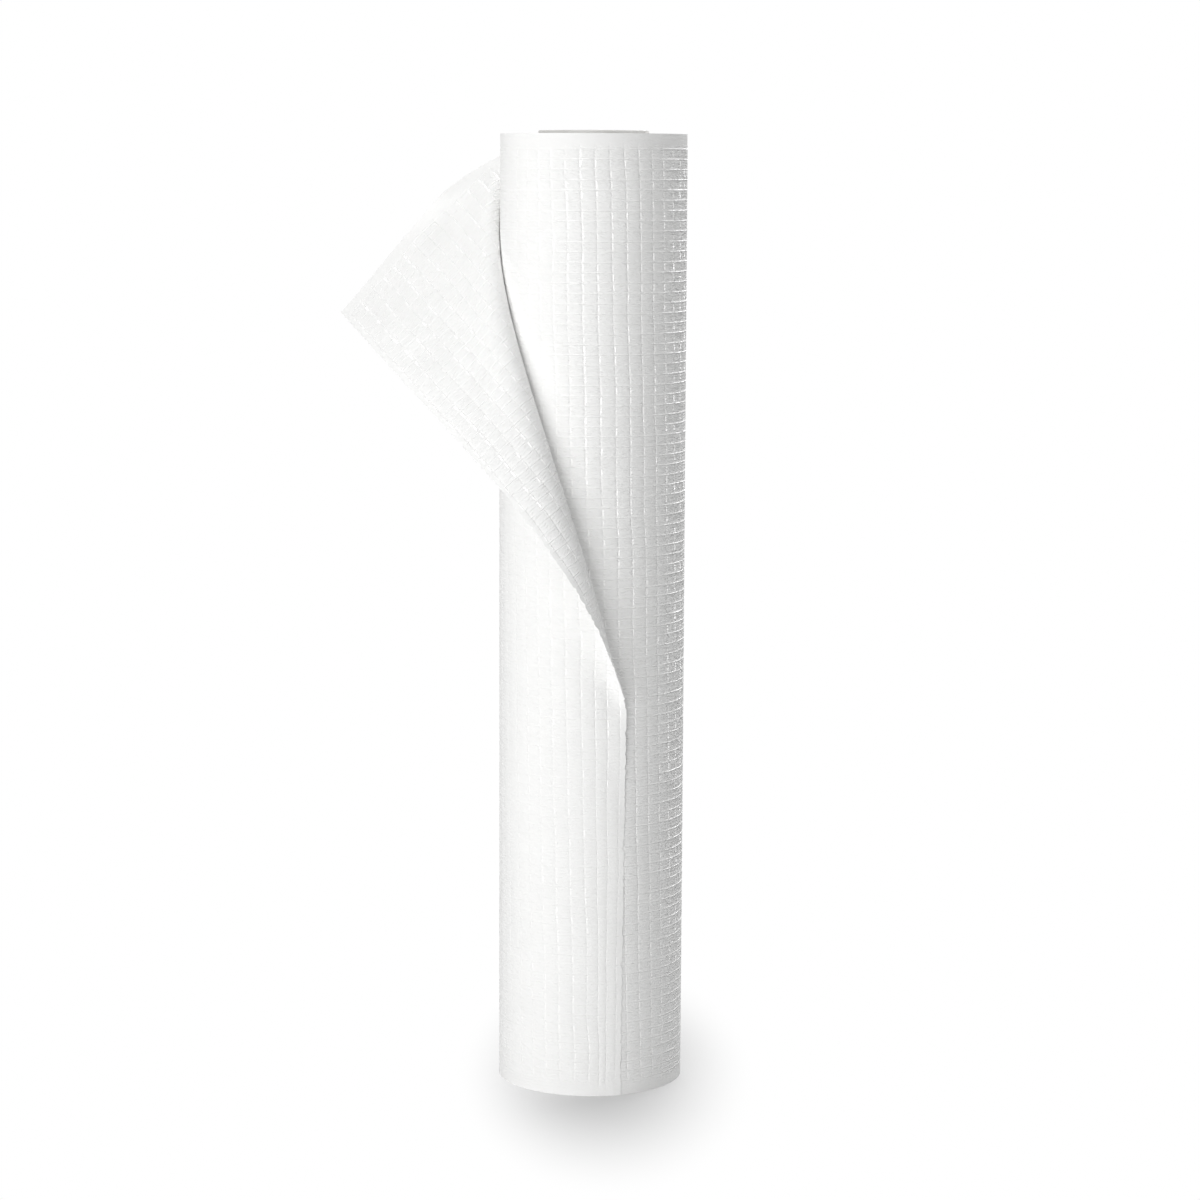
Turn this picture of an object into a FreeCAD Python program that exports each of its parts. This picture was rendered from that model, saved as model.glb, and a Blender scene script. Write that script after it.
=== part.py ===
"""Exam table paper roll standing on its end, with one corner of the web peeled back.

Frame: millimetres, +Z up along the roll's axis, origin on the axis at the end the roll
stands on.  Angles round the roll are measured from -Y towards +X.  The web is wound so
that its free end points the same way round.
"""
import FreeCAD, Part
import math
import os
import Sketcher

Vector = FreeCAD.Vector

# ---------------------------------------------------------------------------------------
# Driving dimensions, in millimetres and degrees: alias, value, meaning
# ---------------------------------------------------------------------------------------
DIMENSIONS = [
    ("roll_width", 457.2, "width of the web, so the length of the wound paper (18 in)"),
    ("roll_diameter", 89.2, "outside diameter of the wound paper (3.5 in)"),
    ("web_thickness", 0.3, "thickness of the embossed web"),
    ("core_outside", 52.6, "outside diameter of the card core"),
    ("core_wall", 2.0, "wall of the card core"),
    ("core_proud", 1.6, "how far the core stands out of the paper's upper end"),
    ("core_clearance", 0.1, "radial gap between the core and the first turn"),
    ("end_angle", 21.5, "where round the roll the free end lies at the foot of the peel"),
    ("end_skew", 5.3, "how far round the torn end leans back between there and the bottom"),
    ("peel_foot", 184.5, "height at which the free end starts to lift"),
    ("peel_sweep", 196.0, "how far round the roll the web has come off at its upper edge"),
    ("peel_even_share", 0.50, "share of that sweep that grows evenly with height"),
    ("tip_reach", 79.4, "how far the peeled corner stands out past the roll's left side"),
    ("tip_back", 29.0, "how far the peeled corner lies behind the axis"),
    ("tip_drop", 88.2, "how far the peeled corner hangs below the paper's upper end"),
    ("fold_reach", 10.0, "how far the web stands off the roll before it turns back"),
    ("open_reach", 45.0, "the same at the upper edge, where it runs straight off"),
]

# Form of the peel: shares, powers and angles in degrees
PEEL_LATE_POWER = 8       # the rest of the sweep comes in over the last stretch of height
OPENING_POWER = 6         # how late the fold opens out into a straight run
FOLD_LEAN = 60.0          # between the roll's tangent and the web at a tight fold
OPEN_LEAN = 22.0          # the same at the upper edge
ROW_TURN_SHARE = 1 / 3    # most of a row that its turn may take up, near the foot
ROW_RUN_SHARE = 0.3       # where a row's straight run starts, past its turn
BULGE_POLE = (-0.29, -1.06, 0.42)   # free end near its foot: radii left, radii front, rise
LEAN_POLE = (0.73, -0.19, 0.85)     # free end near its corner: share left, radii front, rise

# Modelling aids
FLAP_ROWS = 14            # rows of the web that the lifted corner is lofted through
FLAP_FIRST_ROW = 0.02     # share of the peeled height at which the first row lies
ROOT_DEPTH = 0.6          # how deep each row is rooted in the wound paper
ROOT_SETBACK = 0.5        # how far below its true height, so clear of the end face
SEAT_ANGLE = 4.0          # degrees of last turn left past the root of the fold
SEAT_BLEND = 0.05         # share of the peeled height over which that comes in
THICKEN_TOLERANCE = 0.01
TOOL_MARGIN = 5.0         # how far a cutting tool runs past an end face
WEDGE_REACH = 1.06        # radius of the cutting wedge's corners, in roll radii
WEDGE_SPANS = 6           # flats round the cutting wedge
WEDGE_OVERRUN = 1.0       # degrees it runs past the free end's line
WIDEST_WEDGE = 100.0      # degrees before that line, past which the last turn thins out
BELOW_FOOT_SECTIONS = 4   # stretches of the wedge below the foot of the peel


def make_sheet(doc):
    """The spreadsheet that drives every sub-part."""
    sheet = doc.addObject("Spreadsheet::Sheet", "Sizes")
    for row, (alias, value, meaning) in enumerate(DIMENSIONS, start=1):
        sheet.set("A%d" % row, alias)
        sheet.set("B%d" % row, str(value))
        sheet.setAlias("B%d" % row, alias)
        sheet.set("C%d" % row, meaning)
    doc.recompute()
    return sheet


class Sizes:
    """The spreadsheet's values as plain numbers, for shapes that are worked out in code."""

    def __init__(self, sheet):
        for alias, _value, _meaning in DIMENSIONS:
            setattr(self, alias, float(sheet.get(alias)))
        self.radius = self.roll_diameter / 2


def origin_plane(body, role):
    """One of a body's own origin planes, by its role."""
    for feature in body.Origin.OriginFeatures:
        if feature.Role == role:
            return feature
    raise ValueError("no origin plane " + role)


def new_sketch(body, name):
    """An empty sketch on the body's own XY plane."""
    sketch = body.newObject("Sketcher::SketchObject", name)
    sketch.AttachmentSupport = [(origin_plane(body, "XY_Plane"), "")]
    sketch.MapMode = "FlatFace"
    return sketch


def bind(sketch, constraint, name, formula):
    """Add a named constraint and drive it from the spreadsheet."""
    index = sketch.addConstraint(Sketcher.Constraint(*constraint))
    sketch.renameConstraint(index, name)
    sketch.setExpression("Constraints." + name, formula)


def pad(body, sketch, name, length_formula):
    """Extrude a sketch up the axis."""
    feature = body.newObject("PartDesign::Pad", name)
    feature.Profile = sketch
    feature.setExpression("Length", length_formula)
    sketch.Visibility = False
    return feature


# ---------------------------------------------------------------------------------------
# Card core
# ---------------------------------------------------------------------------------------
def make_core(doc, sizes):
    """Wound card tube, flush with the paper at the bottom and proud of it at the top."""
    body = doc.addObject("PartDesign::Body", "CoreTube")
    body.Label = "core_tube"
    sketch = new_sketch(body, "CoreSection")
    centre = Vector(0, 0, 0)
    up = Vector(0, 0, 1)
    outer_radius = sizes.core_outside / 2
    inner_radius = outer_radius - sizes.core_wall
    outside = sketch.addGeometry(Part.Circle(centre, up, outer_radius), False)
    inside = sketch.addGeometry(Part.Circle(centre, up, inner_radius), False)
    for circle in (outside, inside):
        sketch.addConstraint(Sketcher.Constraint("Coincident", circle, 3, -1, 1))
    bind(sketch, ("Diameter", outside, 2 * outer_radius), "outside", "Sizes.core_outside")
    bind(sketch, ("Diameter", inside, 2 * inner_radius), "inside",
         "Sizes.core_outside - 2 * Sizes.core_wall")
    pad(body, sketch, "CoreLength", "Sizes.roll_width + Sizes.core_proud")
    return body


# ---------------------------------------------------------------------------------------
# Wound paper
# ---------------------------------------------------------------------------------------
def make_wound_paper(doc, sizes):
    """All the turns as one solid, with the step of the free end along one line.

    The outline is a spiral on two centres.  One half is an arc on the axis, one web
    thinner than the roll.  The other half gains that thickness by the free end, so its
    centre lies half a web towards the free end.
    """
    body = doc.addObject("PartDesign::Body", "WoundPaper")
    sketch = new_sketch(body, "PaperSection")
    centre = Vector(0, 0, 0)
    up = Vector(0, 0, 1)
    web = sizes.web_thickness
    under_radius = sizes.radius - web
    last_radius = sizes.radius - web / 2
    bore_radius = sizes.core_outside / 2 + sizes.core_clearance
    inner_circle = Part.Circle(centre, up, under_radius)
    outer_circle = Part.Circle(Vector(web / 2, 0, 0), up, last_radius)
    inner_arc = sketch.addGeometry(Part.ArcOfCircle(inner_circle, 0, math.pi), False)
    outer_arc = sketch.addGeometry(
        Part.ArcOfCircle(outer_circle, math.pi, 2 * math.pi), False)
    step = sketch.addGeometry(
        Part.LineSegment(Vector(sizes.radius, 0, 0), Vector(under_radius, 0, 0)), False)
    bore = sketch.addGeometry(Part.Circle(centre, up, bore_radius), False)
    for first, second in (((inner_arc, 3), (-1, 1)), ((inner_arc, 2), (outer_arc, 1)),
                          ((outer_arc, 2), (step, 1)), ((step, 2), (inner_arc, 1)),
                          ((bore, 3), (-1, 1))):
        sketch.addConstraint(Sketcher.Constraint("Coincident", *first, *second))
    for element in ((inner_arc, 1), (inner_arc, 2), (outer_arc, 3), (outer_arc, 2)):
        sketch.addConstraint(Sketcher.Constraint("PointOnObject", *element, -1))
    bind(sketch, ("Radius", inner_arc, under_radius), "under_turn",
         "Sizes.roll_diameter / 2 - Sizes.web_thickness")
    bind(sketch, ("Radius", outer_arc, last_radius), "last_turn",
         "Sizes.roll_diameter / 2 - Sizes.web_thickness / 2")
    bind(sketch, ("Radius", bore, bore_radius), "bore",
         "Sizes.core_outside / 2 + Sizes.core_clearance")
    pad(body, sketch, "PaperWidth", "Sizes.roll_width")
    body.setExpression("Placement.Rotation.Angle", "Sizes.end_angle - 90")
    return body


# ---------------------------------------------------------------------------------------
# Peel: the line where the web leaves the roll, and the lifted corner
# ---------------------------------------------------------------------------------------
class Peel(Sizes):
    """The shape of the peeled corner, worked out from the spreadsheet."""

    def direction(self, angle):
        """Outward direction at an angle round the roll."""
        turn = math.radians(angle)
        return Vector(math.sin(turn), -math.cos(turn), 0)

    def tangent(self, angle):
        """Direction in which the web runs towards its free end."""
        turn = math.radians(angle)
        return Vector(math.cos(turn), math.sin(turn), 0)

    def lift_angle(self, share):
        """Where the web leaves the roll, at a share of the height above the foot."""
        even = self.peel_even_share * share
        late = (1 - self.peel_even_share) * share ** PEEL_LATE_POWER
        return self.end_angle - self.peel_sweep * (even + late)

    def edge_angle(self, height):
        """Where the last turn stops: the torn end, then the line of lift-off."""
        if height <= self.peel_foot:
            below = 1 - height / self.peel_foot
            return self.end_angle - self.end_skew * below
        share = (height - self.peel_foot) / (self.roll_width - self.peel_foot)
        return self.lift_angle(share) + SEAT_ANGLE * min(1.0, share / SEAT_BLEND)

    def free_end(self):
        """Curve of the free end, from the foot of the peel to the corner."""
        foot = self.direction(self.end_angle) * self.radius + Vector(0, 0, self.peel_foot)
        corner = Vector(-self.radius - self.tip_reach, self.tip_back,
                        self.roll_width - self.tip_drop)
        rise = corner.z - foot.z
        bulge = Vector(foot.x + BULGE_POLE[0] * self.radius,
                       foot.y + BULGE_POLE[1] * self.radius, foot.z + BULGE_POLE[2] * rise)
        lean = Vector(LEAN_POLE[0] * corner.x,
                      foot.y + LEAN_POLE[1] * self.radius, foot.z + LEAN_POLE[2] * rise)
        curve = Part.BezierCurve()
        curve.setPoles([foot, bulge, lean, corner])
        return curve

    def row(self, share, free_end):
        """One row of the web: off the roll, round the fold and out to the free end."""
        angle = self.lift_angle(share)
        height = self.peel_foot + share * (self.roll_width - self.peel_foot) - ROOT_SETBACK
        outward = self.direction(angle)
        onward = self.tangent(angle)
        root = outward * (self.radius - ROOT_DEPTH) + Vector(0, 0, height)
        end = free_end.value(share)
        opened = share ** OPENING_POWER
        lean = math.radians(FOLD_LEAN * (1 - opened) + OPEN_LEAN * opened)
        tight_reach = min(self.fold_reach, (end - root).Length * ROW_TURN_SHARE)
        reach = tight_reach * (1 - opened) + self.open_reach * opened
        turn = root + (onward * math.cos(lean) + outward * math.sin(lean)) * reach
        run = turn + (end - turn) * ROW_RUN_SHARE
        curve = Part.BezierCurve()
        curve.setPoles([root, turn, run, end])
        return curve


def make_lifted_corner(doc, peel):
    """The peeled corner of the web: a curved sheet rooted in the wound paper."""
    free_end = peel.free_end()
    rows = []
    for index in range(FLAP_ROWS):
        even = index / (FLAP_ROWS - 1)
        share = FLAP_FIRST_ROW + (1 - FLAP_FIRST_ROW) * even
        rows.append(Part.Wire([peel.row(share, free_end).toShape()]))
    face = Part.makeLoft(rows, False, False).Faces[0]
    feature = doc.addObject("Part::Feature", "LiftedCorner")
    feature.Shape = face.makeOffsetShape(peel.web_thickness, THICKEN_TOLERANCE, fill=True)
    return feature


def make_peel_wedge(doc, peel):
    """Wedge of the roll that the last turn has come off: from where the turn stops
    round to the step of the free end."""
    below = [peel.peel_foot * step / BELOW_FOOT_SECTIONS
             for step in range(BELOW_FOOT_SECTIONS + 1)]
    peeled = peel.roll_width - peel.peel_foot
    above = [peel.peel_foot + peeled * step / FLAP_ROWS for step in range(1, FLAP_ROWS + 1)]
    reach = WEDGE_REACH * peel.radius
    last = peel.end_angle + WEDGE_OVERRUN
    sections = []
    for height in [-TOOL_MARGIN] + below + above + [peel.roll_width + TOOL_MARGIN]:
        first = peel.edge_angle(min(max(height, 0.0), peel.roll_width))
        first = max(first, peel.end_angle - WIDEST_WEDGE)
        corners = [Vector(0, 0, height)]
        for step in range(WEDGE_SPANS + 1):
            angle = first + (last - first) * step / WEDGE_SPANS
            corners.append(peel.direction(angle) * reach + Vector(0, 0, height))
        sections.append(Part.makePolygon(corners + corners[:1]))
    wedge = doc.addObject("Part::Feature", "PeelWedge")
    wedge.Shape = Part.makeLoft(sections, True, True)
    return wedge


def make_roll(doc, wound, wedge, corner):
    """The wound paper with the peeled strip bared and the lifted corner joined on."""
    under_turn = doc.addObject("Part::Cylinder", "UnderTurn")
    under_turn.setExpression("Radius", "Sizes.roll_diameter / 2 - Sizes.web_thickness")
    under_turn.setExpression("Height", "Sizes.roll_width + %g" % (4 * TOOL_MARGIN))
    under_turn.Placement.Base.z = -2 * TOOL_MARGIN
    bared_layer = doc.addObject("Part::Cut", "BaredLayer")
    bared_layer.Base = wedge
    bared_layer.Tool = under_turn
    bared_roll = doc.addObject("Part::Cut", "BaredRoll")
    bared_roll.Base = wound
    bared_roll.Tool = bared_layer
    roll = doc.addObject("Part::Fuse", "PaperRoll")
    roll.Label = "paper_roll"
    roll.Base = bared_roll
    roll.Tool = corner
    return roll


# ---------------------------------------------------------------------------------------
# Checks and export
# ---------------------------------------------------------------------------------------
def check_document(doc, nodes):
    """Stop if any object failed, or if a sub-part is not one valid solid."""
    for item in doc.Objects:
        if "Invalid" in item.State or "Error" in item.State:
            raise RuntimeError("%s failed: %s" % (item.Name, item.State))
    for node in nodes:
        shape = node.Shape
        if shape.isNull() or not shape.isValid() or len(shape.Solids) != 1:
            raise RuntimeError("%s is not one valid solid" % node.Label)


def build():
    """Make the document and write one STEP file for each sub-part."""
    doc = FreeCAD.newDocument("ExamTablePaperRoll")
    peel = Peel(make_sheet(doc))
    core_tube = make_core(doc, peel)
    wound = make_wound_paper(doc, peel)
    paper_roll = make_roll(doc, wound, make_peel_wedge(doc, peel),
                           make_lifted_corner(doc, peel))
    doc.recompute()
    nodes = [paper_roll, core_tube]
    check_document(doc, nodes)
    os.makedirs("parts", exist_ok=True)
    for node in nodes:
        node.Shape.exportStep("parts/%s.step" % node.Label)
        box = node.Shape.BoundBox
        print("%s: %.1f cm3, x %.1f to %.1f, y %.1f to %.1f, z %.1f to %.1f" % (
            node.Label, node.Shape.Volume / 1000, box.XMin, box.XMax, box.YMin, box.YMax,
            box.ZMin, box.ZMax))


build()
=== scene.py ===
# Exam table paper roll standing on its end, with the corner of its last turn peeled back.
# The web is embossed tissue over a scrim of threads, wound on a card core.
import math

import bpy
import numpy as np
from mathutils import Matrix, Vector


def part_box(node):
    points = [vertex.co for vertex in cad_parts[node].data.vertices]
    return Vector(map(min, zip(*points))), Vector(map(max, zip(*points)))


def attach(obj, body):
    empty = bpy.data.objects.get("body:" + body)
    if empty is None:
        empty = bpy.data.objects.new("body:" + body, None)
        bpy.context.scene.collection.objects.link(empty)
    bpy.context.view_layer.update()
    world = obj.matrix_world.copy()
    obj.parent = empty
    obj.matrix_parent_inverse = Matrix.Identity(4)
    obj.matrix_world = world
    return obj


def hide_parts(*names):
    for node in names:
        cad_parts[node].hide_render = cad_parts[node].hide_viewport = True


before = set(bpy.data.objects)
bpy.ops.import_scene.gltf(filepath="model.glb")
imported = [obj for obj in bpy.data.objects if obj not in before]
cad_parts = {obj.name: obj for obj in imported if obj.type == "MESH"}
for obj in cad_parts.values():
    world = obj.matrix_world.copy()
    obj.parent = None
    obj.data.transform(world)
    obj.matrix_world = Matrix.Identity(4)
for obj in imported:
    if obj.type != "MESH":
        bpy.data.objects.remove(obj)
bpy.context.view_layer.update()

# ---- Sizes.  The web is worked out in millimetres and turned into metres as it is meshed.
# Angles round the roll are in degrees from the front, -Y, towards +X.
MM = 0.001
roll_low, roll_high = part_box("paper_roll")
core_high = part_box("core_tube")[1]
standing_rim = [v.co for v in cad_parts["paper_roll"].data.vertices if v.co.z < MM]

WIDTH = roll_high.z / MM   # width of the web, so height of the standing roll
RADIUS = max(math.hypot(co.x, co.y) for co in standing_rim) / MM
CORE_RADIUS = core_high.x / MM
CORE_TOP = core_high.z / MM
CORE_WALL = 2.0
BORE_RADIUS = CORE_RADIUS + 0.1
WEB = 0.3                  # thickness of the web
WEB_MIDDLE = RADIUS - WEB / 2

END_ANGLE = 21.5           # the free end of the web
END_SKEW = 2.3             # how far the torn end leans back at the bottom
SKEW_RUN = 34.0            # length of web that the lean is taken up in
LAP_ANGLE = -215.0         # the last turn is relaxed from here on
PEEL_FOOT = 184.5          # height at which the free end starts to lift
PEEL_SWEEP = 206.5         # how far round the web has come off at the top
PEEL_EVEN = 0.6            # share of it that grows evenly with height
PEEL_EVEN_POWER = 1.15
PEEL_LATE_POWER = 8

THREADS_ROUND = 39         # upright threads round the roll
UPRIGHT_PITCH = 2 * math.pi * RADIUS / THREADS_ROUND
MARGIN = 7.0               # plain margin at each edge of the web
CROSS_PITCHES = 93         # spaces between the threads that run round
CROSS_PITCH = (WIDTH - 2 * MARGIN) / CROSS_PITCHES
THREAD_SLANT = 0.0245      # how far an upright thread leans as it climbs
SLANT_LEVEL = 337.0        # height at which the threads' angles are given
UPRIGHT_PHASE = 4.4        # angle of one upright thread on the bared turn
END_PHASE = 3.1            # last upright thread, short of the free end
SEAM_THREAD = -23          # thread of the bared turn that the last turn meets
TURN_THREADS = 24          # spaces between threads on the last turn
SEAM_ANGLE = UPRIGHT_PHASE + SEAM_THREAD * 360 / THREADS_ROUND
END_RUN = math.radians(END_ANGLE) * WEB_MIDDLE
LAST_THREAD = END_RUN - END_PHASE
SEAM_RUN = math.radians(SEAM_ANGLE) * WEB_MIDDLE
TURN_PITCH = (LAST_THREAD - SEAM_RUN) / TURN_THREADS
LAP_START = 1.2            # the last turn starts this far past that thread
THREAD_HALF_WIDTH = 0.52


# ---- Small helpers
def smooth(value, start, end):
    """0 before start, 1 after end, and an easy curve between them."""
    share = np.clip((value - start) / (end - start), 0, 1)
    return share * share * (3 - 2 * share)


def facing(degrees):
    """Outward direction at an angle round the roll."""
    turn = np.radians(degrees)
    return np.stack([np.sin(turn), -np.cos(turn), np.zeros_like(turn)], -1)


def on_roll(degrees, height, radius):
    """Points at an angle, height and radius."""
    points = facing(degrees) * np.asarray(radius)[..., None]
    points[..., 2] = height
    return points


def ripple(points, size, seed, waves=10):
    """Gentle random unevenness, about -1 to 1, with swells about size apart."""
    rng = np.random.default_rng(seed)
    total = np.zeros(points.shape[:-1])
    for _ in range(waves):
        bearing = rng.normal(size=3)
        bearing /= np.linalg.norm(bearing)
        length = size * rng.uniform(0.7, 1.7)
        phase = rng.uniform(0, 2 * math.pi)
        total += np.sin(points @ bearing * (2 * math.pi / length) + phase)
    return total / math.sqrt(waves)


def fold_angle(height):
    """Where the web leaves the roll, at each height."""
    share = np.clip((height - PEEL_FOOT) / (WIDTH - PEEL_FOOT), 0, 1)
    even = PEEL_EVEN * share ** PEEL_EVEN_POWER
    late = (1 - PEEL_EVEN) * share ** PEEL_LATE_POWER
    return END_ANGLE - PEEL_SWEEP * (even + late)


def end_angle(height):
    """Where the free end lies, at each height."""
    return END_ANGLE - END_SKEW * np.clip(1 - height / PEEL_FOOT, 0, 1)


def slant(height):
    """How far the upright threads have leant across, at each height."""
    return THREAD_SLANT * (SLANT_LEVEL - height)


def in_scene(name, data):
    """A new object of this mesh, lamp or camera."""
    made = bpy.data.objects.new(name, data)
    bpy.context.scene.collection.objects.link(made)
    return made


# ---- The peeled web: a thin sheet that hardly stretches, relaxed until it lies at rest
MESH_STEP = 3.0            # spacing of the relaxed sheet's nodes
STRETCH_STIFFNESS = 1000.0
SHEAR_SHARE = 0.5
BEND_STIFFNESS = 8.0
CONTACT_STIFFNESS = 1000.0
LIE_CLEARANCE = 0.3        # how far the folded web keeps off the turn below
CLEARANCE_RUN = 8.0        # length of web over which that comes in
CORNER = np.array([roll_low.x / MM + 0.9, 29.9, WIDTH - 86.6])
CORNER_HOLD = 100.0
EDGE_HOLD = 3.0
TOP_HOLD = 8.0
TOP_POINT = np.array([-75.5, 22.9, 425.6])  # on the upper edge,
TOP_RUN = 74.0             # this far along it from the corner
BULGE = np.array([-0.29, -1.06, 0.42])  # radii in X and in Y, share of the rise
LEAN = np.array([0.73, -0.19, 0.85])  # share of the corner's X, radii in Y, share of the rise
EASE_BELOW = 48.0          # the free end eases off the roll from this far below the foot
EASE_SLOPE = 0.3
CURVE_POINTS = 400
LEAD_OFF = (-10, -60, 0)   # the corner is first led off the roll like this
LEAD_WAY = ((-60, -110, 430), (-120, -80, 410))  # and then past these places,
LEAD_STOPS = 4             # with this many stops on the way to each
LEAD_HOLD = 200.0
LEAD_STEPS = 80
REST_STEPS = 1000
REST_ROUNDS = 4
MEMORY = 12                # the relaxing looks back on this many steps,
FIRST_MOVE = 0.1           # moves a node at most this far in its first one
LONGEST_MOVE = 6.0         # and this far in any,
HALVINGS = 20              # halves a step that gains too little at most this often,
ENOUGH_GAIN = 1e-4
SETTLED = 1e-8             # and stops when the gain falls to this share of the energy,
LEAST_STEPS = 20           # though not before this many steps


def downhill_move(slope, history):
    """The move that a limited-memory BFGS step makes from the slope and its last moves."""
    move = slope.copy()
    shares = []
    for shift, change, scale in reversed(history):
        shares.append(scale * (shift @ move))
        move -= shares[-1] * change
    if history:
        shift, change, _ = history[-1]
        move *= (shift @ change) / (change @ change)
    else:
        move *= FIRST_MOVE / max(np.abs(slope).max(), 1e-9)
    for (shift, change, scale), share in zip(history, reversed(shares)):
        move += (share - scale * (change @ move)) * shift
    return -move


class PeeledWeb:
    """The last turn as a grid of nodes that are held on the roll up to the fold line."""

    def __init__(self):
        start, end = np.radians([LAP_ANGLE, END_ANGLE]) * WEB_MIDDLE
        bottom = PEEL_FOOT - EASE_BELOW - 4 * MESH_STEP
        self.run = np.linspace(start, end, round((end - start) / MESH_STEP) + 1)
        self.height = np.linspace(bottom, WIDTH, round((WIDTH - bottom) / MESH_STEP) + 1)
        run, height = np.meshgrid(self.run, self.height, indexing="ij")
        self.shape = run.shape
        self.index = np.arange(run.size).reshape(self.shape)
        angle = np.degrees(run / WEB_MIDDLE)
        self.points = on_roll(angle, height, WEB_MIDDLE).reshape(-1, 3)
        past_fold = run - np.radians(fold_angle(height)) * WEB_MIDDLE
        easing = EASE_SLOPE * (height - PEEL_FOOT + EASE_BELOW)
        eased = end - run < np.maximum(easing, 0)
        self.loose = (((past_fold > 0) & (height > PEEL_FOOT)) | eased).ravel()
        off = LIE_CLEARANCE * np.clip(past_fold / CLEARANCE_RUN, 0, 1)
        self.closest = (WEB_MIDDLE + off).ravel()
        self.holds = []
        self.set_links()

    def set_links(self):
        """Springs along the web, across it and on the skew, and its bending lines."""
        grid = self.index
        across = self.run[1] - self.run[0]
        along = self.height[1] - self.height[0]
        skew = math.hypot(across, along)
        links = [(grid[:-1], grid[1:], across, 1.0),
                 (grid[:, :-1], grid[:, 1:], along, 1.0),
                 (grid[:-1, :-1], grid[1:, 1:], skew, SHEAR_SHARE),
                 (grid[1:, :-1], grid[:-1, 1:], skew, SHEAR_SHARE)]
        lines = [(grid[:-2], grid[1:-1], grid[2:], across),
                 (grid[:, :-2], grid[:, 1:-1], grid[:, 2:], along),
                 (grid[:-2, :-2], grid[1:-1, 1:-1], grid[2:, 2:], skew),
                 (grid[2:, :-2], grid[1:-1, 1:-1], grid[:-2, 2:], skew)]
        self.pairs, (self.length, weight) = self.beside_loose(links, 2)
        self.pull = STRETCH_STIFFNESS * weight
        self.threes, (gap,) = self.beside_loose(lines, 3)
        self.stiff = BEND_STIFFNESS / gap ** 2

    def beside_loose(self, groups, count):
        """The groups' sets of nodes that have a loose one, and the numbers of each set."""
        sets = np.concatenate([np.stack(np.broadcast_arrays(*group), -1).reshape(
            -1, len(group)) for group in groups])
        nodes = sets[:, :count].astype(int)
        kept = self.loose[nodes].any(1)
        return nodes[kept], sets[kept, count:].T

    def energy(self, free):
        """Stored energy and its slope for the loose nodes."""
        points = self.points.copy()
        points[self.loose] = free.reshape(-1, 3)
        first, second = self.pairs.T
        gap = points[second] - points[first]
        reach = np.linalg.norm(gap, axis=1) + 1e-12
        strain = reach - self.length
        total = 0.5 * (self.pull * strain ** 2 / self.length).sum()
        pulled = (self.pull * strain / self.length / reach)[:, None] * gap
        before, middle, after = self.threes.T
        kink = points[before] - 2 * points[middle] + points[after]
        total += 0.5 * (self.stiff * (kink ** 2).sum(1)).sum()
        bent = self.stiff[:, None] * kink
        nodes = np.concatenate([second, first, before, middle, after])
        forces = np.concatenate([pulled, -pulled, bent, -2 * bent, bent])
        slope = np.stack([np.bincount(nodes, forces[:, axis], len(points))
                          for axis in range(3)], -1)
        radius = np.hypot(points[:, 0], points[:, 1]) + 1e-9
        beside_roll = points[:, 2] < WIDTH + MESH_STEP
        sunk = np.maximum(0, self.closest - radius) * beside_roll
        total += 0.5 * CONTACT_STIFFNESS * (sunk ** 2).sum()
        slope[:, :2] -= (CONTACT_STIFFNESS * sunk / radius)[:, None] * points[:, :2]
        for node, target, hold in self.holds:
            off = points[node] - target
            total += 0.5 * hold * (off ** 2).sum()
            np.add.at(slope, node, hold * off)
        return total, slope[self.loose].ravel()

    def relax(self, steps):
        """Let the loose nodes move to where the energy is least."""
        free = self.points[self.loose].ravel()
        energy, slope = self.energy(free)
        history = []
        for step in range(steps):
            move = downhill_move(slope, history)
            downhill = slope @ move
            stride = min(1.0, LONGEST_MOVE / np.abs(move).max())
            for _ in range(HALVINGS):
                new_energy, new_slope = self.energy(free + stride * move)
                if new_energy <= energy + ENOUGH_GAIN * stride * downhill:
                    break
                stride *= 0.5
            shift, change = stride * move, new_slope - slope
            if shift @ change > 1e-10:
                history = (history + [(shift, change, 1 / (shift @ change))])[-MEMORY:]
            gain = abs(energy - new_energy)
            free, energy, slope = free + shift, new_energy, new_slope
            if step > LEAST_STEPS and gain < SETTLED * max(1.0, abs(energy)):
                break
        self.points[self.loose] = free.reshape(-1, 3)

    def peel(self):
        """Lead the corner out to the left, then let the web rest on its edges' holds."""
        corner = self.index[-1, -1]
        start = self.points[corner]
        way = np.array([start, start + LEAD_OFF, *LEAD_WAY, CORNER])
        for here, there in zip(way[:-1], way[1:]):
            for stop in range(1, LEAD_STOPS + 1):
                place = here + (there - here) * (stop / LEAD_STOPS)
                self.holds = [([corner], place[None], LEAD_HOLD)]
                self.relax(LEAD_STEPS)
        rows = np.flatnonzero(self.height > PEEL_FOOT)
        flat = (self.height[rows] - PEEL_FOOT) / (WIDTH - PEEL_FOOT)
        beside_corner = -1 - round(TOP_RUN / (self.run[1] - self.run[0]))
        self.holds = [([corner], CORNER[None], CORNER_HOLD),
                      (self.index[-1, rows], free_end_curve(flat), EDGE_HOLD),
                      ([self.index[beside_corner, -1]], TOP_POINT[None], TOP_HOLD)]
        for _ in range(REST_ROUNDS):
            self.relax(REST_STEPS)
        return self.points.reshape(self.shape + (3,))


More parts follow.
